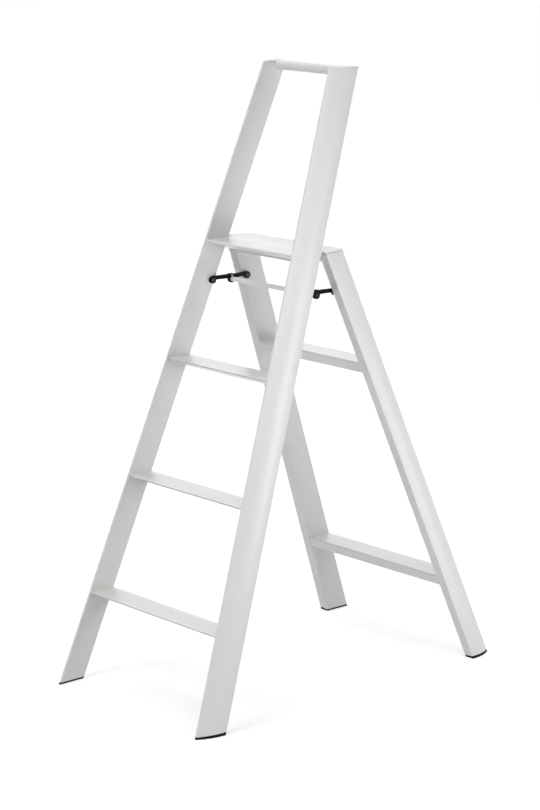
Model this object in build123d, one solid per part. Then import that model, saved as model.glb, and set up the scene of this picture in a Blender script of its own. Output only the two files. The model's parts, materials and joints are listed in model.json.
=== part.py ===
from build123d import *
import os
from math import atan2, cos, degrees, hypot, radians, sin, sqrt, tan

# A white folding step ladder: three treads, a platform of two boards and a hand rail above it.
# Millimetres, +Z up, +Y from the climbing side to the rear, +X to the climber's right.
# The origin is the middle of the rectangle that the four feet span on the floor.

# Heights
first_tread = 214.0  # floor to the top of the lowest tread
tread_rise = 270.0  # one tread's top to the next, and to the platform's top
tread_names = ("lower", "middle", "upper")  # the treads below the platform
handle_rise = 405.0  # platform's top to the top of the hand rail

# Frames
base_half_width = 243.6  # middle plane to a stile's inner face, at the floor
narrowing = 0.095  # inward run of each stile for each mm of height
front_lean = 20.0  # degrees from upright
rear_lean = 21.5  # degrees from upright
frame_gap = 11.0  # front stile's rear face to rear stile's front face, at the platform's top

# Stiles: hollow sections with a flat inner face, a bowed outer face, one thin and one thick edge
front_depth = 66.0  # across the front stile, square to its length
rear_depth = 64.8  # across the rear stile, square to its length
stile_thick = 25.9  # width of the thick edge
front_tip = 5.0  # width of the front stile's thin edge
rear_tip = 7.0  # width of the rear stile's thin edge
stile_bow = 6.0  # height of the outer face's bow over its chord
stile_wall = 2.0
tip_solid = 9.0  # solid run behind the thin edge
edge_round = 1.8  # rounding of the long edges

# Feet and caps
foot_height = 4.4  # rubber that shows below a stile's inner face
foot_plug = 30.0  # plug inside the stile
sole_groove = 1.2  # depth of the grooves in the sole
sole_groove_width = 2.2
sole_pitch = 9.0
cap_height = 2.5
cap_round = 1.4  # rounding of a cap's top edge
cap_plug = 4.0
plug_gap = 0.3  # round a plug inside its stile

# Boards: wing sections with a flat top, a round nose and a sloping belly
tread_height = 27.5  # at the thick edge
nose_thick = 3.3
nose_setback = 1.1  # nose behind the stile's front edge
back_setback = 0.9  # thick edge inside the stile's rear face
board_wall = 2.2
nose_solid = 13.0  # solid run behind the nose
belly_at = 0.5  # share of the run where the belly's middle point lies
belly_full = 0.53  # share of the height that it has reached there
rib_count = 6  # shallow grip grooves in a board's top
rib_pitch = 8.0
rib_width = 1.0
rib_depth = 0.3
rib_margin = 11.0  # nose to the first groove
lip_drop = 2.6  # top to the shadow groove along the thick edge
lip_width = 1.2
lip_depth = 1.0

# Rear cross bars
crossbar_height = 25.5
crossbar_lift = 2.5  # top above the top of the tread at the same level
crossbar_setback = 1.8  # inside the stile's front and rear faces
crossbar_names = ("lower", "upper")  # the treads whose level they match

# Platform
platform_nose = 6.0  # thickness of the front board's nose
seam_back = 9.0  # seam of the two boards behind the front stiles' rear faces
deck_height = 31.5  # rear board at the seam
deck_overhang = 0.3  # past the rear stiles, to the sides and to the rear
deck_plate = 2.6  # thickness over the rear stiles
deck_side_gap = 0.6  # between the plate's neck and the planes of the inner faces
seam = 0.8  # bevel on both boards where they meet

# Hand rail
handle_depth = 36.0  # along Y at the top
handle_height = 21.7
handle_top_round = 7.0
handle_grip_round = 12.0  # front lower edge
handle_back_round = 2.0
handle_groove = 1.3  # radius of the two grooves along the lower front
handle_groove_angles = (26.0, 60.0)  # their places on the lower front rounding, degrees
handle_wall = 2.2

# End blocks and screws inside the boards
block_length = 20.0
block_width = 26.0
block_height = 9.5
block_margin = 3.0  # between a block and the hollow's thick end
rail_block_width = 15.0
rail_block_height = 9.0
rail_block_rise = 9.7  # block's middle above the hand rail's underside
rail_screw_spread = 9.0
screw_radius = 2.2
screw_head_radius = 4.0
screw_head = 2.4
screw_reach = 15.0  # into a block
screw_spread = 14.0  # between the two screws of a block
hole_gap = 0.2  # round a screw in its hole
thread_gap = 0.05  # round a screw in its block

# Platform bolts
bolt_radius = 2.5
bolt_head_radius = 4.5
bolt_head = 3.0
bolt_spacing = 70.0
bolt_count = 4
bolt_drop = 13.0  # below the platform's top

# Hinges
hinge_drop = 16.0  # pin below the platform's top
hinge_inset = 5.5  # pin behind the rear stile's front face
hinge_pin_radius = 2.6
hinge_head_radius = 4.8
hinge_head = 2.0
hinge_boss_radius = 9.0
bracket_thick = 8.0
bracket_gap = 0.5  # bracket to the rear stile's inner face
spigot_length = 22.0  # tongue of a bracket inside the platform's rear board
spigot_width = 28.0
spigot_height = 8.0
spigot_behind = 5.0  # tongue's middle behind the pin
hinge_reach = 14.0  # pin inside the rear stile's insert
insert_plug = 42.0
stile_top_gap = 0.8  # rear stile's top below the platform's plate
insert_recess = 1.5  # insert's top below the rear stile's top
filler_gap = 0.4  # round the rear stile's top corner, which turns beside the plate's filler
filler_edge = 1.1  # thinnest edge of the filler
pin_gap = 0.06  # running fit round a pin

# Stays
stay_drop = 98.0  # end pivots below the platform's top
stay_inset = 9.5  # end pivots inside the stile's face
knee_drop = 2.5  # knee below the line of the end pivots, past dead centre
pad_radius = 8.5
pad_min = 1.5  # thinnest edge of the wedge between link and stile
eye_radius = 8.5
eye_thick = 5.0
stay_gap = 0.4  # between pieces that turn past each other
knee_radius = 9.0
knee_lap = 3.4  # thickness of each half of the knee's lap joint
arm_height = 9.2
front_arm_rises = (4.4, 7.2)  # arm's middle line above the end pivot and the knee
rear_arm_rises = (3.9, 6.2)
stop_height = 12.9  # top of the knee stop above the knee pivot
stop_ahead = 9.0  # stop's front above the knee
stop_behind = 3.0  # stop's rear face
stop_screw_rise = 8.3  # screw that sets the stop, above the knee
stop_screw_radius = 2.3
stop_screw_recess = 0.4  # screw's head inside the link's face
stay_pin_radius = 3.0
stay_head_radius = 5.2
stay_head = 1.6
stay_tap_radius = 2.4  # thinner end of the front pivot screw, in pad and stile
stay_pin_reach = 7.0  # into the stile, past its wall
knee_pin_radius = 2.5
knee_head_radius = 3.6
knee_head = 1.6
knee_reach = 11.0  # into the release bar's plug
socket_radius = 2.3  # hexagon sockets in the heads of the pivot screws
stay_socket = 1.1  # depth
knee_socket = 1.2

# Release bar
bar_radius = 5.5
bar_wall = 1.4
bar_plug = 16.0

overcut = 1.0  # run of a bore or a cut past the face that it opens

# Levels and lines that follow from the sizes above
platform_top = first_tread + tread_rise * len(tread_names)
stile_top = platform_top + handle_rise
front_run = tan(radians(front_lean))
rear_run = tan(radians(rear_lean))
front_span = front_depth / cos(radians(front_lean))
rear_span = rear_depth / cos(radians(rear_lean))
rear_base = front_span + platform_top * (front_run + rear_run) + frame_gap
floor_depth = rear_base + rear_span
y_front = -floor_depth / 2
y_rear = y_front + rear_base
rear_top = platform_top - deck_plate - stile_top_gap


def inner(z):
    """X of the right stiles' inner face at height z."""
    return base_half_width - narrowing * z


def front_edge(z):
    """Y of the front stiles' front edge at height z."""
    return y_front + z * front_run


def front_back(z):
    """Y of the front stiles' rear face at height z."""
    return front_edge(z) + front_span


def rear_face(z):
    """Y of the rear stiles' front face at height z."""
    return y_rear - z * rear_run


# Pivots as (y, z), with the ladder open
hinge_z = platform_top - hinge_drop
hinge = (rear_face(hinge_z) + hinge_inset / cos(radians(rear_lean)), hinge_z)
stay_z = platform_top - stay_drop
front_pivot = (front_back(stay_z) - stay_inset / cos(radians(front_lean)), stay_z)
rear_pivot = (rear_face(stay_z) + stay_inset / cos(radians(rear_lean)), stay_z)
knee = ((front_pivot[0] + rear_pivot[0]) / 2, stay_z - knee_drop)
fold_turn = front_lean + rear_lean


def turned(point, centre, angle):
    """A (y, z) point turned about a centre, degrees from +Y towards +Z."""
    c = cos(radians(angle))
    s = sin(radians(angle))
    y = point[0] - centre[0]
    z = point[1] - centre[1]
    return (centre[0] + y * c - z * s, centre[1] + y * s + z * c)


def heading(start, end):
    """Direction of a (y, z) line, degrees from +Y towards +Z."""
    return degrees(atan2(end[1] - start[1], end[0] - start[0]))


def upper_meeting(first, first_radius, second, second_radius):
    """The upper of the two points where two circles of the (y, z) plane meet."""
    gap = hypot(second[0] - first[0], second[1] - first[1])
    along = (gap**2 + first_radius**2 - second_radius**2) / (2 * gap)
    across = sqrt(first_radius**2 - along**2)
    unit = ((second[0] - first[0]) / gap, (second[1] - first[1]) / gap)
    return (
        first[0] + along * unit[0] - across * unit[1],
        first[1] + along * unit[1] + across * unit[0],
    )


# Pivots with the ladder folded, and how far the links turn on the way there
front_link = hypot(knee[0] - front_pivot[0], knee[1] - front_pivot[1])
rear_link = hypot(rear_pivot[0] - knee[0], rear_pivot[1] - knee[1])
rear_pivot_folded = turned(rear_pivot, hinge, -fold_turn)
knee_folded = upper_meeting(front_pivot, front_link, rear_pivot_folded, rear_link)
front_link_turn = heading(front_pivot, knee_folded) - heading(front_pivot, knee)
rear_link_turn = (
    front_link_turn
    + heading(knee, rear_pivot)
    - heading(knee_folded, rear_pivot_folded)
)

# Planes across X where the stay's pieces meet, on the right side
pad_x = inner(stay_z + pad_radius) - pad_min
eye_x = pad_x - stay_gap
knee_x = inner(knee_folded[1] + knee_radius) - stay_gap
lap_x = knee_x - knee_lap
front_lap_x = lap_x - stay_gap
bar_x = front_lap_x - knee_lap
bracket_x = inner(rear_top) - bracket_gap
deck_x = bracket_x - bracket_thick


def circle_through(p, q, r):
    """Centre and radius of the circle through three points of a plane."""
    d = 2 * (p[0] * (q[1] - r[1]) + q[0] * (r[1] - p[1]) + r[0] * (p[1] - q[1]))
    pp = p[0] ** 2 + p[1] ** 2
    qq = q[0] ** 2 + q[1] ** 2
    rr = r[0] ** 2 + r[1] ** 2
    x = (pp * (q[1] - r[1]) + qq * (r[1] - p[1]) + rr * (p[1] - q[1])) / d
    y = (pp * (r[0] - q[0]) + qq * (p[0] - r[0]) + rr * (q[0] - p[0])) / d
    return (x, y), hypot(p[0] - x, p[1] - y)


def x_rod(x0, x1, pivot, radius):
    """A round rod along X, about a (y, z) pivot."""
    rod = Rot(0, 90, 0) * Cylinder(radius, abs(x1 - x0))
    return Pos((x0 + x1) / 2, pivot[0], pivot[1]) * rod


def x_slab(sketch, x0, x1):
    """A (y, z) sketch made solid between two planes across X."""
    return extrude(Plane.YZ.offset(x0) * sketch, x1 - x0)


def left(shape):
    """The left twin of a right-hand piece."""
    return mirror(shape, Plane.YZ)


# Room between the stiles' inner faces, floor to top
bay_low = -foot_height
bay_high = stile_top + foot_height
bay_outline = make_face(
    Polyline(
        (-inner(bay_low), bay_low),
        (inner(bay_low), bay_low),
        (inner(bay_high), bay_high),
        (-inner(bay_high), bay_high),
        close=True,
    )
)
bay = extrude(Plane.XZ * bay_outline, floor_depth, both=True)


# Stiles, feet and caps


def bow_middle(span, front_thick, back_thick, rise):
    """Middle point of the bowed outer face, in a stile's own section."""
    chord = hypot(span, back_thick - front_thick)
    x = (front_thick + back_thick) / 2 + rise * span / chord
    y = span / 2 - rise * (back_thick - front_thick) / chord
    return (x, y)


def stile_outline(span, front_thick, back_thick, grow=0.0):
    """Level section of a stile: x from its inner face outwards, y from its front edge."""
    front = (front_thick + grow, -grow)
    back = (back_thick + grow, span + grow)
    middle = bow_middle(span, front_thick, back_thick, stile_bow)
    middle = (middle[0] + grow, middle[1])
    face = make_face(
        [
            Line((0, -grow), (0, span + grow)),
            Line((0, span + grow), back),
            ThreePointArc(back, middle, front),
            Line(front, (0, -grow)),
        ]
    )
    return fillet(face.vertices(), edge_round)


def stile_hollow(span, front_thick, back_thick, shrink=0.0):
    """Level section of a stile's hollow, or of a plug that is smaller all round."""
    wall = stile_wall + shrink
    nose = tip_solid + shrink
    start, end = (nose, span - wall) if front_thick < back_thick else (wall, span - nose)
    centre, radius = circle_through(
        (front_thick, 0),
        bow_middle(span, front_thick, back_thick, stile_bow),
        (back_thick, span),
    )

    def bowed(y):
        return (centre[0] + sqrt((radius - wall) ** 2 - (y - centre[1]) ** 2), y)

    return make_face(
        [
            Line((wall, start), (wall, end)),
            Line((wall, end), bowed(end)),
            ThreePointArc(bowed(end), bowed((start + end) / 2), bowed(start)),
            Line(bowed(start), (wall, start)),
        ]
    )


def leaning(section, edge, run, low, high):
    """A level section run up along a right stile between two heights."""
    rise = high - low
    way = Vector(-narrowing * rise, run * rise, rise)
    return extrude(Pos(inner(low), edge(low), low) * section, way.length, dir=way)


def front_leaning(section, low, high):
    return leaning(section, front_edge, front_run, low, high)


def rear_leaning(section, low, high):
    return leaning(section, rear_face, -rear_run, low, high)


front_section = (front_span, front_tip, stile_thick)
rear_section = (rear_span, stile_thick, rear_tip)


# Room below the lower ends of the right stiles, which are cut square to their lean in X
sole_rise = 2 * narrowing * stile_thick
sole_room = extrude(
    Plane.XZ
    * make_face(
        Polyline(
            (inner(0) - 2 * stile_thick, -foot_height),
            (inner(0) + 2 * stile_thick, -foot_height),
            (inner(0) + 2 * stile_thick, foot_height + sole_rise),
            (inner(0) - 2 * stile_thick, foot_height - sole_rise),
            close=True,
        )
    ),
    floor_depth,
    both=True,
)


def foot(lean, edge, section):
    """Rubber foot: a sole of the stile's outline, grooved below, and a plug in the stile."""
    sole = lean(stile_outline(*section), 0, foot_height + sole_rise) & sole_room
    plug = lean(stile_hollow(*section, shrink=plug_gap), foot_height, foot_height + foot_plug)
    grooves = int((section[0] - sole_pitch) / sole_pitch)
    cutter = Box(3 * stile_thick, sole_groove_width, 2 * sole_groove)
    start = edge(0) + section[0] / 2 - sole_pitch * (grooves - 1) / 2
    places = [Pos(inner(0), start + sole_pitch * i, 0) for i in range(grooves)]
    return sole + plug - [place * cutter for place in places]


front_foot = foot(front_leaning, front_edge, front_section)
rear_foot = foot(rear_leaning, rear_face, rear_section)

cap_low = stile_top - cap_height
stile_cap = front_leaning(stile_outline(*front_section), cap_low, stile_top)
stile_cap = fillet(stile_cap.faces().sort_by(Axis.Z)[-1].edges(), cap_round)
stile_cap += front_leaning(
    stile_hollow(*front_section, shrink=plug_gap), cap_low - cap_plug, cap_low
)

front_tube = stile_outline(*front_section) - stile_hollow(*front_section)
rear_tube = stile_outline(*rear_section) - stile_hollow(*rear_section)
front_stile = front_leaning(front_tube, 0, cap_low) - sole_room
rear_stile = rear_leaning(rear_tube, 0, rear_top) - sole_room


# Boards


class Wing:
    """A board's section in (y, z): flat top, round nose, belly, and a thick edge that leans."""

    def __init__(self, nose_y, back_y, top, height, back_run, nose=nose_thick):
        self.top = top
        self.nose = nose
        self.side = 1 if back_y > nose_y else -1
        self.nose_y = nose_y
        self.back_y = back_y
        self.back_run = back_run
        self.nose_in = nose_y + self.side * nose / 2
        self.low_y = back_y - height * back_run
        self.low = top - height
        full = (
            self.nose_in + belly_at * (self.low_y - self.nose_in),
            top - nose - belly_full * (height - nose),
        )
        self.belly = ((self.nose_in, top - nose), full, (self.low_y, self.low))

    def back(self, drop):
        """The thick edge's point at a depth below the top."""
        return (self.back_y - drop * self.back_run, self.top - drop)

    def outline(self):
        top = self.top
        return make_face(
            [
                Line((self.nose_in, top), (self.back_y, top)),
                Line((self.back_y, top), self.belly[2]),
                ThreePointArc(self.belly[2], self.belly[1], self.belly[0]),
                ThreePointArc(
                    self.belly[0], (self.nose_y, top - self.nose / 2), (self.nose_in, top)
                ),
            ]
        )

    def hollow(self):
        """Room inside the board, a wall smaller all round and closed behind the nose."""
        centre, radius = circle_through(*self.belly)
        radius -= board_wall
        ceiling = self.top - board_wall
        slope = self.back_run
        back = self.back_y - self.side * board_wall * hypot(1, slope)
        a = 1 + slope**2
        b = (back - centre[0]) * slope + self.top - centre[1]
        c = (back - centre[0]) ** 2 + (self.top - centre[1]) ** 2 - radius**2
        drop = (b + sqrt(b**2 - a * c)) / a
        low_back = (back - drop * slope, self.top - drop)
        high_back = (back - board_wall * slope, ceiling)
        front = self.nose_y + self.side * nose_solid

        def belly(y):
            return (y, centre[1] - sqrt(radius**2 - (y - centre[0]) ** 2))

        return make_face(
            [
                Line((front, ceiling), high_back),
                Line(high_back, low_back),
                ThreePointArc(low_back, belly((low_back[0] + front) / 2), belly(front)),
                Line(belly(front), (front, ceiling)),
            ]
        )

    def grip_ribs(self):
        """Shallow grooves along the board's top, from the nose backwards."""
        first = self.nose_y + self.side * rib_margin
        cutter = Rectangle(rib_width, 2 * rib_depth)
        places = [first + self.side * rib_pitch * i for i in range(rib_count)]
        return [Pos(y, self.top) * cutter for y in places]

    def lip(self):
        """Shadow groove along the thick edge, just below the top."""
        y, z = self.back(lip_drop)
        return Pos(y, z) * Rectangle(2 * lip_depth, lip_width)

    def seam(self):
        """Bevel on the thick edge's top corner."""
        return Pos(self.back_y, self.top) * Rot(0, 0, 45) * Rectangle(seam, seam)


def board(section):
    """A section run between the stiles' inner faces."""
    return x_slab(section, -base_half_width, base_half_width) & bay


def tread_wing(top, setback, nose):
    back = front_back(top) - setback
    return Wing(front_edge(top) + nose_setback, back, top, tread_height, front_run, nose)


tread_tops = [first_tread + tread_rise * i for i in range(len(tread_names))]
tread_wings = [tread_wing(top, back_setback, nose_thick) for top in tread_tops]
treads = [
    board(wing.outline() - wing.hollow() - wing.lip() - wing.grip_ribs()) for wing in tread_wings
]

platform_wing = tread_wing(platform_top, -seam_back, platform_nose)
platform_section = platform_wing.outline() - platform_wing.hollow()
platform_front = board(platform_section - platform_wing.seam() - platform_wing.grip_ribs())


def crossbar_wing(name):
    top = tread_tops[tread_names.index(name)] + crossbar_lift
    front = rear_face(top) + crossbar_setback
    rear = rear_face(top) + rear_span - crossbar_setback
    return Wing(rear, front, top, crossbar_height, -rear_run)


crossbar_wings = {name: crossbar_wing(name) for name in crossbar_names}
crossbars = {
    name: board(wing.outline() - wing.hollow() - wing.lip())
    for name, wing in crossbar_wings.items()
}


# Platform's rear board: a hollow wing with its nose to the rear, under a plate that
# reaches over the tops of the rear stiles

deck_nose = rear_face(platform_top) + rear_span + deck_overhang
deck_wing = Wing(deck_nose, platform_wing.back_y, platform_top, deck_height, front_run)
deck_top = x_slab(deck_wing.outline(), -deck_x, deck_x)
neck_half = inner(platform_top) - deck_side_gap
neck_front = deck_wing.back_y
neck_back = deck_nose - nose_thick
neck = Box(2 * neck_half, neck_back - neck_front, deck_plate)
plate_z = platform_top - deck_plate / 2
plate = Pos(0, (neck_front + neck_back) / 2, plate_z) * neck
wing_outline = stile_outline(*rear_section, grow=deck_overhang)
wing_cover = Pos(inner(platform_top), rear_face(platform_top), platform_top - deck_plate)
right_cover = extrude(wing_cover * wing_outline, deck_plate)
inner_strip = Box(2 * deck_side_gap, rear_span, deck_plate)
strip_y = rear_face(platform_top) + rear_span / 2
right_cover += Pos(neck_half, strip_y, plate_z) * inner_strip
deck_hollow = x_slab(deck_wing.hollow(), -deck_x, deck_x)
deck_grooves = [x_slab(groove, -neck_half, neck_half) for groove in deck_wing.grip_ribs()]
deck_seam = x_slab(deck_wing.seam(), -base_half_width, base_half_width)
platform_rear = deck_top + plate + right_cover + left(right_cover)
platform_rear = platform_rear - deck_hollow - deck_seam - deck_grooves


# Hand rail

handle_back = front_back(stile_top)
handle_front = handle_back - handle_depth
handle_low = stile_top - handle_height


def handle_outline():
    corners = [
        (handle_front, stile_top),
        (handle_back, stile_top),
        (handle_back - handle_height * front_run, handle_low),
        (handle_front, handle_low),
    ]
    face = make_face(Polyline(*corners, close=True))
    by_y = face.vertices().sort_by(Axis.X)
    front_corners = by_y[:2].sort_by(Axis.Y)
    face = fillet(front_corners[0], handle_grip_round)
    corner = face.vertices().sort_by_distance((handle_front, stile_top))[0]
    face = fillet(corner, handle_top_round)
    back_corners = [
        face.vertices().sort_by_distance(corners[1])[0],
        face.vertices().sort_by_distance(corners[2])[0],
    ]
    return fillet(back_corners, handle_back_round)


def handle_groove_cut(angle):
    """Round groove along the lower front rounding."""
    y = handle_front + handle_grip_round * (1 - cos(radians(angle)))
    z = handle_low + handle_grip_round * (1 - sin(radians(angle)))
    return Pos(y, z) * Circle(handle_groove)


handle_section = handle_outline()
handle_hollow = offset(handle_section, -handle_wall, kind=Kind.INTERSECTION)
handle_grooves = [handle_groove_cut(angle) for angle in handle_groove_angles]
handle_bar = board(handle_section - handle_hollow - handle_grooves)


# End blocks and screws: a block in each end of a board, two screws through the stile's inner wall

wall_normal = Vector(1, 0, narrowing).normalized()


def wall_frame(y, z):
    """Place on the right stiles' inner face, with its own Z pointing into the stile."""
    return Plane((inner(z), y, z), x_dir=(0, 1, 0), z_dir=wall_normal)


def along_wall(frame, radius, start, end):
    return frame * Pos(0, 0, (start + end) / 2) * Cylinder(radius, end - start)


class EndFixing:
    """Block in a board's right end, its screws and the holes that they need."""

    def __init__(self, middle, level, width, height, spread):
        length = block_length + narrowing * height
        body = Box(2 * length, width, height)
        body = Pos(inner(level), middle, level) * body & bay
        frames = [wall_frame(middle - spread / 2, level), wall_frame(middle + spread / 2, level)]
        taps = [along_wall(f, screw_radius + thread_gap, -screw_reach, overcut) for f in frames]
        self.block = body - taps
        through = stile_wall + overcut
        self.holes = [along_wall(f, screw_radius + hole_gap, -overcut, through) for f in frames]
        self.screws = [self.screw(f) for f in frames]

    def screw(self, frame):
        seat = frame * Pos(0, 0, stile_wall)
        head = extrude(seat * RegularPolygon(screw_head_radius, 6), screw_head)
        return along_wall(frame, screw_radius, -screw_reach, stile_wall) + head


def wing_fixing(wing):
    """Fixing whose block hangs under the board's top, beside its thick edge."""
    ends = [wing.back(drop)[0] for drop in (board_wall, board_wall + block_height)]
    end = min(ends) if wing.side > 0 else max(ends)
    middle = end - wing.side * (2 * board_wall + block_margin + block_width / 2)
    level = wing.top - board_wall - block_height / 2
    return EndFixing(middle, level, block_width, block_height, screw_spread)


front_fixings = [wing_fixing(wing) for wing in tread_wings + [platform_wing]]
rail_level = handle_low + rail_block_rise
rail_back = handle_back - (stile_top - rail_level + rail_block_height) * front_run
rail_middle = (handle_front + rail_back) / 2
front_fixings.append(
    EndFixing(rail_middle, rail_level, rail_block_width, rail_block_height, rail_screw_spread)
)
rear_fixings = [wing_fixing(wing) for wing in crossbar_wings.values()]


def group(shapes):
    """Separate solids of one kind, kept in one piece of the list."""
    return Compound(children=[solid for shape in shapes for solid in shape.solids()])


front_blocks = [fixing.block for fixing in front_fixings]
front_screws = [screw for fixing in front_fixings for screw in fixing.screws]
rear_blocks = [fixing.block for fixing in rear_fixings]
rear_screws = [screw for fixing in rear_fixings for screw in fixing.screws]
front_stile -= [hole for fixing in front_fixings for hole in fixing.holes]
rear_stile -= [hole for fixing in rear_fixings for hole in fixing.holes]


# Bolts through the thick edges of the two platform boards

bolt_way = Vector(0, cos(radians(front_lean)), -sin(radians(front_lean)))
bolt_y, bolt_z = platform_wing.back(bolt_drop)


def bolt_frame(x):
    return Plane((x, bolt_y, bolt_z), x_dir=(1, 0, 0), z_dir=bolt_way)


def platform_bolt(x):
    frame = bolt_frame(x)
    hexagon = RegularPolygon(bolt_head_radius, 6)
    head = extrude(frame * Pos(0, 0, board_wall) * hexagon, bolt_head)
    nut = extrude(frame * Pos(0, 0, -board_wall) * hexagon, -bolt_head)
    return along_wall(frame, bolt_radius, -board_wall - bolt_head, board_wall) + head + nut


bolt_places = [bolt_spacing * (i - (bolt_count - 1) / 2) for i in range(bolt_count)]
platform_bolts = [platform_bolt(x) for x in bolt_places]
bolt_holes = [
    along_wall(bolt_frame(x), bolt_radius + hole_gap, -2 * board_wall, 2 * board_wall)
    for x in bolt_places
]
platform_front -= bolt_holes
platform_rear -= bolt_holes


# Hinges: brackets that close the ends of the platform's rear board, pins, and inserts
# in the tops of the rear stiles

bracket_outline = deck_wing.outline() + Pos(*hinge) * Circle(hinge_boss_radius)
under_plate = Rectangle(floor_depth, platform_top)
bracket_outline &= Pos(0, platform_top / 2 - deck_plate) * under_plate
hinge_bracket = x_slab(bracket_outline, deck_x, bracket_x)
spigot_z = platform_top - board_wall - spigot_height / 2
spigot = Box(spigot_length, spigot_width, spigot_height)
spigot_y = hinge[0] + spigot_behind
hinge_bracket += Pos(deck_x - spigot_length / 2, spigot_y, spigot_z) * spigot
hinge_bracket -= x_rod(deck_x - overcut, bracket_x + overcut, hinge, hinge_pin_radius + pin_gap)

insert_top = rear_top - insert_recess
insert_section = stile_hollow(*rear_section, shrink=plug_gap)
hinge_insert = rear_leaning(insert_section, insert_top - insert_plug, insert_top)
pin_end = inner(hinge_z) + stile_wall + hinge_reach
knuckle_radius = rear_top - hinge_z
corner = Pos(0, -knuckle_radius, knuckle_radius) * Box(
    4 * stile_thick, 2 * knuckle_radius, 2 * knuckle_radius
)
corner = Pos(inner(hinge_z), hinge[0], hinge[1]) * corner
knuckle = x_rod(0, 2 * base_half_width, hinge, knuckle_radius)
top_corner = corner - knuckle

# Fillers under the plate, in front of the corners that the rear stiles need to turn
filler_room = knuckle_radius + filler_gap
filler_run = hinge_inset / cos(radians(rear_lean)) - filler_edge
slant = 1 + rear_run**2
filler_low = (sqrt(slant * filler_room**2 - filler_run**2) - rear_run * filler_run) / slant
filler = rear_leaning(
    stile_outline(*rear_section), hinge_z + filler_low, platform_top - deck_plate
)
filler = (filler & corner) - x_rod(0, 2 * base_half_width, hinge, filler_room)
platform_rear += [filler, left(filler)]

hinge_insert -= top_corner
hinge_insert -= x_rod(deck_x, pin_end + stay_gap, hinge, hinge_pin_radius + pin_gap)
rear_stile -= top_corner
stile_bore_end = inner(hinge_z) + stile_wall + 2 * overcut
rear_stile -= x_rod(deck_x, stile_bore_end, hinge, hinge_pin_radius + 2 * hole_gap)

hinge_pin = x_rod(deck_x - hinge_head, pin_end, hinge, hinge_pin_radius)
hinge_pin += x_rod(deck_x - hinge_head, deck_x, hinge, hinge_head_radius)
head_room = x_rod(deck_x - hinge_head - overcut, deck_x, hinge, hinge_head_radius + hole_gap)
platform_rear -= [head_room, left(head_room)]


# Stays: pads on the stiles, links that meet in a lap joint at the knee, pivots, release bar


def stay_pad(pivot):
    """Wedge that gives a link's eye a seat square to X on the tapering stile."""
    return x_rod(pad_x, inner(pivot[1]) + pad_radius, pivot, pad_radius) & bay


def pivot_tool(pivot, start, end):
    return x_rod(start, end, pivot, stay_pin_radius + pin_gap)


pad_bore = x_rod(0, 2 * base_half_width, front_pivot, stay_tap_radius + hole_gap)
front_pad = stay_pad(front_pivot) - pad_bore
rear_pad = stay_pad(rear_pivot)
pin_tip = inner(stay_z) + stile_wall + stay_pin_reach
tap_end = inner(stay_z) + stile_wall + 2 * overcut
front_stile -= x_rod(eye_x, tap_end, front_pivot, stay_tap_radius + 2 * hole_gap)


def arm(start, start_rise, end, end_rise):
    """Straight arm between two (y, z) points, its middle line raised over them."""
    half = arm_height / 2
    return make_face(
        Polyline(
            (start[0], start[1] + start_rise - half),
            (end[0], end[1] + end_rise - half),
            (end[0], end[1] + end_rise + half),
            (start[0], start[1] + start_rise + half),
            close=True,
        )
    )


def plan_slab(eye_y, shoulder_y, neck_y, knee_y):
    """Plan of a link, eye to knee, run up as a slab: the eye lies further out than the knee."""
    outline = make_face(
        Polyline(
            (eye_x, eye_y),
            (eye_x, shoulder_y),
            (knee_x, neck_y),
            (knee_x, knee_y),
            (bar_x, knee_y),
            (bar_x, neck_y),
            (eye_x - eye_thick, shoulder_y),
            (eye_x - eye_thick, eye_y),
            close=True,
        )
    )
    return extrude(Pos(0, 0, stay_z) * outline, 4 * eye_radius, both=True)


reach = 2 * eye_radius
stop = Pos(knee[0] + (stop_behind - stop_ahead) / 2, knee[1] + stop_height / 2)
stop_block = stop * Rectangle(stop_ahead + stop_behind, stop_height)
front_side = Pos(*front_pivot) * Circle(eye_radius) + Pos(*knee) * Circle(knee_radius)
front_side += arm(front_pivot, front_arm_rises[0], knee, front_arm_rises[1])
front_side += stop_block
front_plan = plan_slab(
    front_pivot[0] - reach, front_pivot[0] + eye_radius, knee[0] - reach, knee[0] + reach
)
front_link_body = x_slab(front_side, bar_x, eye_x) & front_plan
front_link_body -= x_rod(front_lap_x, knee_x + overcut, knee, knee_radius + stay_gap)
front_link_body -= pivot_tool(front_pivot, bar_x, eye_x + overcut)
head_x = eye_x - eye_thick + stay_head
front_link_body -= x_rod(bar_x, head_x, front_pivot, stay_head_radius + hole_gap)
front_link_body -= x_rod(bar_x - overcut, knee_x, knee, knee_pin_radius + hole_gap)

butt = (knee[0] + stop_behind + stay_gap, knee[1])
rear_side = Pos(*rear_pivot) * Circle(eye_radius) + Pos(*knee) * Circle(knee_radius)
rear_side += arm(butt, rear_arm_rises[1], rear_pivot, rear_arm_rises[0])
rear_plan = plan_slab(
    rear_pivot[0] + reach, rear_pivot[0] - eye_radius, knee[0] + reach, knee[0] - reach
)
rear_link_body = x_slab(rear_side, bar_x, eye_x) & rear_plan
rear_link_body -= x_rod(bar_x - overcut, lap_x, knee, knee_radius + stay_gap)
rear_link_body -= pivot_tool(rear_pivot, bar_x, eye_x + overcut)
rear_link_body -= x_rod(bar_x, head_x, rear_pivot, stay_head_radius + hole_gap)
rear_link_body -= x_rod(bar_x, knee_x + overcut, knee, knee_pin_radius + pin_gap)
rear_link_body -= x_rod(knee_x - knee_head, knee_x + overcut, knee, knee_head_radius + hole_gap)

stop_place = (knee[0], knee[1] + stop_screw_rise)
stop_bore = x_rod(bar_x - overcut, front_lap_x, stop_place, stop_screw_radius + thread_gap)
front_link_body -= stop_bore
stop_screw = x_rod(
    bar_x + stop_screw_recess, front_lap_x - stop_screw_recess, stop_place, stop_screw_radius
)


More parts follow.
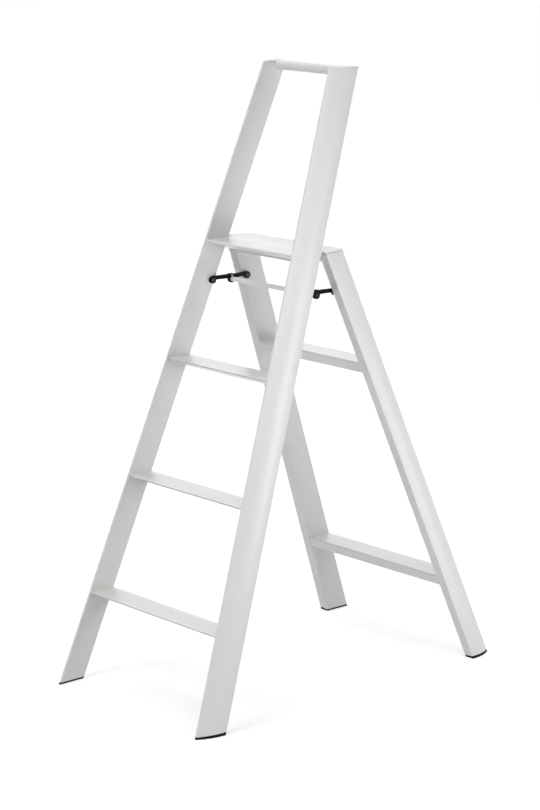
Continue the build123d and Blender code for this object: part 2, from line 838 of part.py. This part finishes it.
def socket(pivot, x0, x1):
    """Hexagon socket about a (y, z) pivot, between two planes across X."""
    return x_slab(Pos(*pivot) * RegularPolygon(socket_radius, 6), x0, x1)


def end_pin(pivot):
    """Head and shank of the screw on which a link's eye turns."""
    top = head_x - stay_head
    pin = x_rod(top, head_x, pivot, stay_head_radius)
    pin += x_rod(head_x, eye_x, pivot, stay_pin_radius)
    return pin - socket(pivot, top - overcut, top + stay_socket)


front_pin = end_pin(front_pivot)
front_pin += x_rod(eye_x, pad_x, front_pivot, stay_pin_radius)
front_pin += x_rod(pad_x, pin_tip, front_pivot, stay_tap_radius)
rear_pin = end_pin(rear_pivot)
knee_screw = x_rod(knee_x - knee_head, knee_x, knee, knee_head_radius)
knee_screw += x_rod(bar_x - knee_reach, knee_x - knee_head, knee, knee_pin_radius)
knee_screw -= socket(knee, knee_x - knee_socket, knee_x + overcut)

bar_bore = bar_radius - bar_wall
release_bar = x_rod(-bar_x, bar_x, knee, bar_radius) - x_rod(-bar_x, bar_x, knee, bar_bore)
end_plug = x_rod(bar_x - bar_plug, bar_x, knee, bar_bore - thread_gap)
end_plug -= x_rod(bar_x - knee_reach - overcut, bar_x, knee, knee_pin_radius + thread_gap)


# Every piece by name: the right-hand ones have a left twin

right_pieces = {
    "front_stile": front_stile,
    "front_foot": front_foot,
    "stile_cap": stile_cap,
    "tread_blocks": group(front_blocks),
    "tread_screws": group(front_screws),
    "hinge_bracket": hinge_bracket,
    "hinge_pin": hinge_pin,
    "stay_pad_front": front_pad,
    "stay_screw_front": front_pin,
    "rear_stile": rear_stile,
    "rear_foot": rear_foot,
    "hinge_insert": hinge_insert,
    "crossbar_blocks": group(rear_blocks),
    "crossbar_screws": group(rear_screws),
    "stay_pad_rear": rear_pad,
    "stay_link_front": front_link_body,
    "knee_screw": knee_screw,
    "stop_screw": stop_screw,
    "stay_link_rear": rear_link_body,
    "stay_screw_rear": rear_pin,
}
pieces = {
    "platform_front": platform_front,
    "platform_rear": platform_rear,
    "platform_bolts": group(platform_bolts),
    "handle_bar": handle_bar,
    "release_bar": release_bar,
    "release_bar_plugs": group([end_plug, left(end_plug)]),
}
for name, tread in zip(tread_names, treads):
    pieces["tread_" + name] = tread
for name, crossbar in crossbars.items():
    pieces["crossbar_" + name] = crossbar
for name, piece in right_pieces.items():
    pieces[name + "_right"] = piece
    pieces[name + "_left"] = left(piece)

os.makedirs("parts", exist_ok=True)
for name, piece in pieces.items():
    export_step(piece, "parts/" + name + ".step")

print("hinge", hinge, "fold", fold_turn)
print("front pivot", front_pivot, "turn", front_link_turn)
print("knee", knee, "turn", rear_link_turn)
print("rear pivot", rear_pivot, "folded", rear_pivot_folded, "knee folded", knee_folded)
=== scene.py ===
import json
from math import radians, tan

import bpy
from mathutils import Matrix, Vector

# Looks of a white folding step ladder: coats, mouldings, rubber, steel, studio and camera.
# Metres, +Z up, +Y from the climbing side to the rear, +X to the climber's right.

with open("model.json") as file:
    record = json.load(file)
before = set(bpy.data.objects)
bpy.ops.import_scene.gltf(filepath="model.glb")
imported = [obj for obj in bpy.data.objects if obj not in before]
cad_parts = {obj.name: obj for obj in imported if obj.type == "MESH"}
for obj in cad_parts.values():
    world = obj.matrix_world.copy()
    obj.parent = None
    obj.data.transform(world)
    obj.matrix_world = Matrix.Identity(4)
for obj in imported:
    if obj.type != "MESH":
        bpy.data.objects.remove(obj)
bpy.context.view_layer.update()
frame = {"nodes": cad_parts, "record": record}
nodes = frame["nodes"]
slot_of = {row["node"]: row["material_slot"] for row in frame["record"]["subparts"]}

# Directions along which the white extrusions were drawn
FRONT_LEAN = 20.0  # degrees from upright
REAR_LEAN = 21.5
NARROWING = 0.095  # inward run of a stile for each metre of height
BOARD_WAY = Vector((1, 0, 0))

# White coat
COAT_COLOR = (0.80, 0.80, 0.787, 1)
COAT_SHADE = (0.78, 0.78, 0.767, 1)  # slow drift of the coat
COAT_ROUGHNESS = (0.27, 0.34)
DRIFT_SCALE = 6.0  # slow patches for each metre
PEEL_SCALE = 900.0  # grains of the coat for each metre
PEEL_BUMP = 0.05
DRAW_SCALE = 420.0  # drawing lines for each metre across the grain
DRAW_STRETCH = 300.0  # length of a drawing line over its width
DRAW_BUMP = 0.035
GRAIN_DEPTH = 0.0002  # metres
PEEL_DEPTH = 0.0001
EDGE_ROUND = 0.0006  # metres, soft edge under the coat
EDGE_TURN = (0.90, 0.995)  # cosines between the soft edge and the face beside it
EDGE_COLOR = (0.72, 0.715, 0.70, 1)  # thinner coat along edges
NOSE_SHADE_COLOR = (0.50, 0.497, 0.485, 1)  # painted shade along a tread's nose, standing in for the shade on a taller nose face
NOSE_SHADE_RUN = (0.0006, 0.0014)  # metres behind the nose, over which the painted shade fades out

# Grain of all surfaces
NOISE_DETAIL = 3.0
NOISE_ROUGHNESS = 0.6
NOISE_SPAN = (0.3, 0.7)  # where nearly all of a noise's values lie
PATCH_SCALE = 40.0  # patches of the small pieces for each metre

# Camera and studio
CAMERA_PLACE = (4.2238, -3.8000, 1.9355)
CAMERA_AZIMUTH = 48.192  # degrees, from straight ahead towards the climber's right
CAMERA_ELEVATION = 12.826
CAMERA_LENS = 111.083  # mm
CAMERA_SENSOR = 36.0  # mm
AMBIENT = 0.02  # strength of the surrounding light
WHITE = (1, 1, 1, 1)
FLOOR_SIZE = 40.0  # metres
FLOOR_DROP = 0.0002  # metres, keeps the floor clear of the soles
FLOOR_COLOR = (0.8, 0.8, 0.8, 1)
FLOOR_MIDDLE = (0.4, -0.5, -FLOOR_DROP)  # where the lamps light the floor most
FLOOR_NEAR = 0.3  # metres from there
FLOOR_FAR = 4.5
FLOOR_GLOW = (0.42, 0.985)  # what the floor lacks to white, near and far, for seen rays only

# Softboxes: place, target and size in metres, power in watts
LAMPS = {
    "top": ((0, 0, 6.5), (0, 0, 0.7), (6, 6), 150),
    "front_high": ((0, -3.0, 3.4), (0, 0, 0.8), (1.6, 1.6), 44),
    "front_low": ((-0.4, -3.2, 0.5), (0, 0, 0.6), (2.0, 0.8), 15),
    "left_high": ((-3.0, -0.5, 3.0), (0, 0, 0.7), (2, 2), 23),
    "left": ((-3.2, -0.5, 1.6), (0, 0, 0.7), (2, 2), 9.3),
    "left_rear": ((-2.4, 2.2, 1.6), (0, 0, 0.7), (1.6, 1.6), 7.5),
    "right": ((3.0, 0.3, 1.2), (0, 0, 0.8), (1.6, 2.0), 8.7),
    "right_front": ((2.0, -0.9, 1.75), (0.1, -0.1, 1.2), (0.8, 0.9), 7.8),
    "strip": ((1.5, 0.3, 0.95), (0, 0, 0.85), (0.5, 1.0), 3.1),
    "low_strip": ((1.5, 0.25, 0.72), (0, 0, 0.72), (0.5, 0.7), 3.6),
    "rear_strip": ((1.1, 1.45, 0.4), (0.2, 0.2, 0.5), (0.4, 0.8), 3.1),
}


class Tree:
    """Short hand for building a node tree."""

    def __init__(self, tree):
        self.tree = tree

    def node(self, kind, **values):
        made = self.tree.nodes.new(kind)
        for name, value in values.items():
            setattr(made, name, value)
        return made

    def link(self, source, target):
        self.tree.links.new(source, target)

    def noise(self, vector, scale):
        made = self.node("ShaderNodeTexNoise")
        made.inputs["Scale"].default_value = scale
        made.inputs["Detail"].default_value = NOISE_DETAIL
        made.inputs["Roughness"].default_value = NOISE_ROUGHNESS
        self.link(vector, made.inputs["Vector"])
        return made.outputs["Fac"]

    def ramp(self, value, low_color, high_color):
        made = self.node("ShaderNodeValToRGB")
        for stop, place, color in zip(
            made.color_ramp.elements, NOISE_SPAN, (low_color, high_color)
        ):
            stop.position = place
            stop.color = color
        self.link(value, made.inputs["Fac"])
        return made.outputs["Color"]

    def span(self, value, low, high, to_low, to_high):
        made = self.node("ShaderNodeMapRange")
        for name, number in zip(
            ("From Min", "From Max", "To Min", "To Max"), (low, high, to_low, to_high)
        ):
            made.inputs[name].default_value = number
        self.link(value, made.inputs["Value"])
        return made.outputs["Result"]

    def tint(self, factor, color, other):
        """Turns a colour to another, fixed one."""
        made = self.node("ShaderNodeMix", data_type="RGBA")
        ends = [socket for socket in made.inputs if socket.type == "RGBA"]
        ends[1].default_value = other
        self.link(factor, made.inputs[0])
        self.link(color, ends[0])
        return [socket for socket in made.outputs if socket.type == "RGBA"][0]

    def soft_edge(self):
        """Normal rounded over the edges, and how much it turns there."""
        soft = self.node("ShaderNodeBevel")
        soft.inputs["Radius"].default_value = EDGE_ROUND
        turn = self.node("ShaderNodeVectorMath", operation="DOT_PRODUCT")
        self.link(soft.outputs["Normal"], turn.inputs[0])
        self.link(self.node("ShaderNodeNewGeometry").outputs["Normal"], turn.inputs[1])
        return soft.outputs["Normal"], self.span(turn.outputs["Value"], *EDGE_TURN, 1, 0)

    def bump(self, height, strength, depth, normal):
        made = self.node("ShaderNodeBump")
        made.inputs["Strength"].default_value = strength
        made.inputs["Distance"].default_value = depth
        self.link(height, made.inputs["Height"])
        self.link(normal, made.inputs["Normal"])
        return made.outputs["Normal"]


def new_material(name):
    material = bpy.data.materials.new(name)
    material.use_nodes = True
    tree = Tree(material.node_tree)
    shader = material.node_tree.nodes["Principled BSDF"]
    place = tree.node("ShaderNodeTexCoord").outputs["Object"]
    return material, tree, shader, place


def coat(name, way, nose=None):
    """Satin white coat on an extrusion drawn along a direction, with painted shade along a nose
    at the given Y if one is given.
    """
    material, tree, shader, place = new_material(name)
    drawn = tree.node("ShaderNodeMapping", vector_type="TEXTURE")
    drawn.inputs["Rotation"].default_value = way.to_track_quat("Z", "Y").to_euler()
    drawn.inputs["Scale"].default_value = (1, 1, DRAW_STRETCH)
    tree.link(place, drawn.inputs["Vector"])
    lines = tree.noise(drawn.outputs["Vector"], DRAW_SCALE)
    peel = tree.noise(place, PEEL_SCALE)
    drift = tree.noise(place, DRIFT_SCALE)
    soft, edge = tree.soft_edge()
    color = tree.tint(edge, tree.ramp(drift, COAT_SHADE, COAT_COLOR), EDGE_COLOR)
    if nose is not None:
        # painted shade: the coat turns grey toward the nose's front edge, where a taller nose
        # face would be in shade
        spot = tree.node("ShaderNodeSeparateXYZ")
        tree.link(place, spot.inputs["Vector"])
        start, end = (nose + run for run in NOSE_SHADE_RUN)
        nose_shade = tree.span(spot.outputs["Y"], start, end, 1, 0)
        color = tree.tint(nose_shade, color, NOSE_SHADE_COLOR)
    tree.link(color, shader.inputs["Base Color"])
    tree.link(tree.span(lines, *NOISE_SPAN, *COAT_ROUGHNESS), shader.inputs["Roughness"])
    drawn_normal = tree.bump(lines, DRAW_BUMP, GRAIN_DEPTH, soft)
    tree.link(tree.bump(peel, PEEL_BUMP, PEEL_DEPTH, drawn_normal), shader.inputs["Normal"])
    return material


def plain(name, colors, roughness, grains, bump, metallic=0.0, specular=0.5):
    """Surface with grains for each metre and a drift between two colours."""
    material, tree, shader, place = new_material(name)
    low_color, high_color = colors
    grain = tree.noise(place, grains)
    drift = tree.noise(place, PATCH_SCALE)
    soft, edge = tree.soft_edge()
    color = tree.ramp(drift, low_color, high_color)
    tree.link(tree.tint(edge, color, high_color), shader.inputs["Base Color"])
    tree.link(tree.span(grain, *NOISE_SPAN, *roughness), shader.inputs["Roughness"])
    tree.link(tree.bump(grain, bump, GRAIN_DEPTH, soft), shader.inputs["Normal"])
    shader.inputs["Metallic"].default_value = metallic
    shader.inputs["Specular IOR Level"].default_value = specular
    return material


def stile_way(side, lean):
    """Direction of a stile, side -1 left and 1 right, leaning to the rear with its height."""
    return Vector((-side * NARROWING, tan(radians(lean)), 1)).normalized()


board_coat = coat("white_coat_boards", BOARD_WAY)
stile_coats = {}
for side_name, side in (("left", -1), ("right", 1)):
    for frame_name, lean in (("front", FRONT_LEAN), ("rear", -REAR_LEAN)):
        made_coat = coat(f"white_coat_{frame_name}_{side_name}", stile_way(side, lean))
        stile_coats[f"{frame_name}_stile_{side_name}"] = made_coat

finishes = {
    "white_plastic": plain(
        "white_plastic",
        colors=(COAT_SHADE, COAT_COLOR),
        roughness=(0.42, 0.52),
        grains=1200.0,
        bump=0.05,
    ),
    "black_plastic": plain(
        "black_plastic",
        colors=((0.0015, 0.0015, 0.0017, 1), (0.003, 0.003, 0.0032, 1)),
        roughness=(0.45, 0.60),
        grains=1800.0,
        bump=0.20,
        specular=0.09,
    ),
    "foot_rubber": plain(
        "foot_rubber",
        colors=((0.004, 0.004, 0.004, 1), (0.007, 0.007, 0.0065, 1)),
        roughness=(0.62, 0.82),
        grains=900.0,
        bump=0.30,
        specular=0.12,
    ),
    "black_steel": plain(
        "black_steel",
        colors=((0.014, 0.014, 0.015, 1), (0.021, 0.021, 0.022, 1)),
        roughness=(0.34, 0.46),
        grains=900.0,
        bump=0.08,
        specular=0.4,
    ),
    "steel": plain(
        "zinc_steel",
        colors=((0.30, 0.30, 0.31, 1), (0.37, 0.37, 0.38, 1)),
        roughness=(0.28, 0.42),
        grains=700.0,
        bump=0.08,
        metallic=1.0,
    ),
    "bare_aluminium": plain(
        "cast_aluminium",
        colors=((0.60, 0.60, 0.61, 1), (0.70, 0.70, 0.71, 1)),
        roughness=(0.40, 0.55),
        grains=500.0,
        bump=0.15,
        metallic=1.0,
    ),
}


def finish_of(node, piece):
    """Finish of a piece, by its slot and, where it is coated, by the way it was drawn."""
    slot = slot_of[node]
    if slot != "white_coat":
        return finishes[slot]
    if node in stile_coats:
        return stile_coats[node]
    if node.startswith("tread_"):
        nose = min(corner[1] for corner in piece.bound_box)
        # a tread's coat carries painted shade along its nose
        return coat("white_coat_" + node, BOARD_WAY, nose)
    return board_coat


for node, piece in nodes.items():
    piece.data.materials.clear()
    piece.data.materials.append(finish_of(node, piece))


# Studio

floor_mesh = bpy.data.meshes.new("floor")
half = FLOOR_SIZE / 2
corners = [(-half, -half), (half, -half), (half, half), (-half, half)]
floor_mesh.from_pydata([(x, y, 0) for x, y in corners], [], [(0, 1, 2, 3)])
floor = bpy.data.objects.new("floor", floor_mesh)
floor.location = FLOOR_MIDDLE
bpy.context.scene.collection.objects.link(floor)
floor_material = bpy.data.materials.new("pale_floor")
floor_material.use_nodes = True
floor_tree = Tree(floor_material.node_tree)
floor_shader = floor_material.node_tree.nodes["Principled BSDF"]
floor_shader.inputs["Base Color"].default_value = FLOOR_COLOR
floor_shader.inputs["Roughness"].default_value = 1.0
floor_shader.inputs["Specular IOR Level"].default_value = 0.0
floor_shader.inputs["Emission Color"].default_value = WHITE


def seen_rays(tree):
    """1 for the rays that show the background: from the camera, in gloss and through glass."""
    path = tree.node("ShaderNodeLightPath")
    first = tree.node("ShaderNodeMath", operation="MAXIMUM")
    tree.link(path.outputs["Is Camera Ray"], first.inputs[0])
    tree.link(path.outputs["Is Glossy Ray"], first.inputs[1])
    both = tree.node("ShaderNodeMath", operation="MAXIMUM")
    tree.link(first.outputs[0], both.inputs[0])
    tree.link(path.outputs["Is Transmission Ray"], both.inputs[1])
    return both.outputs[0]


reach = floor_tree.node("ShaderNodeVectorMath", operation="LENGTH")
floor_tree.link(floor_tree.node("ShaderNodeTexCoord").outputs["Object"], reach.inputs[0])
lack = floor_tree.span(reach.outputs["Value"], FLOOR_NEAR, FLOOR_FAR, *FLOOR_GLOW)
glow = floor_tree.node("ShaderNodeMath", operation="MULTIPLY")
floor_tree.link(seen_rays(floor_tree), glow.inputs[0])
floor_tree.link(lack, glow.inputs[1])
floor_tree.link(glow.outputs[0], floor_shader.inputs["Emission Strength"])
floor_mesh.materials.append(floor_material)

world = bpy.data.worlds.new("studio")
bpy.context.scene.world = world
world.use_nodes = True
world_tree = Tree(world.node_tree)
background = world.node_tree.nodes["Background"]
background.inputs["Color"].default_value = WHITE
level = world_tree.span(seen_rays(world_tree), 0, 1, AMBIENT, 1)
world_tree.link(level, background.inputs["Strength"])


def softbox(name, place, target, size, power):
    """Soft rectangular lamp that faces its target."""
    lamp = bpy.data.lights.new(name, "AREA")
    lamp.shape = "RECTANGLE"
    lamp.size, lamp.size_y = size
    lamp.energy = power
    made = bpy.data.objects.new(name, lamp)
    made.location = place
    away = Vector(place) - Vector(target)
    made.rotation_euler = away.to_track_quat("Z", "Y").to_euler()
    bpy.context.scene.collection.objects.link(made)


for lamp_name, setting in LAMPS.items():
    softbox(lamp_name, *setting)

lens = bpy.data.cameras.new("camera")
lens.sensor_width = CAMERA_SENSOR
lens.lens = CAMERA_LENS
camera = bpy.data.objects.new("camera", lens)
camera.location = CAMERA_PLACE
camera.rotation_euler = (radians(90 - CAMERA_ELEVATION), 0, radians(CAMERA_AZIMUTH))
bpy.context.scene.collection.objects.link(camera)
bpy.context.scene.camera = camera
bpy.context.scene.view_settings.view_transform = "Standard"
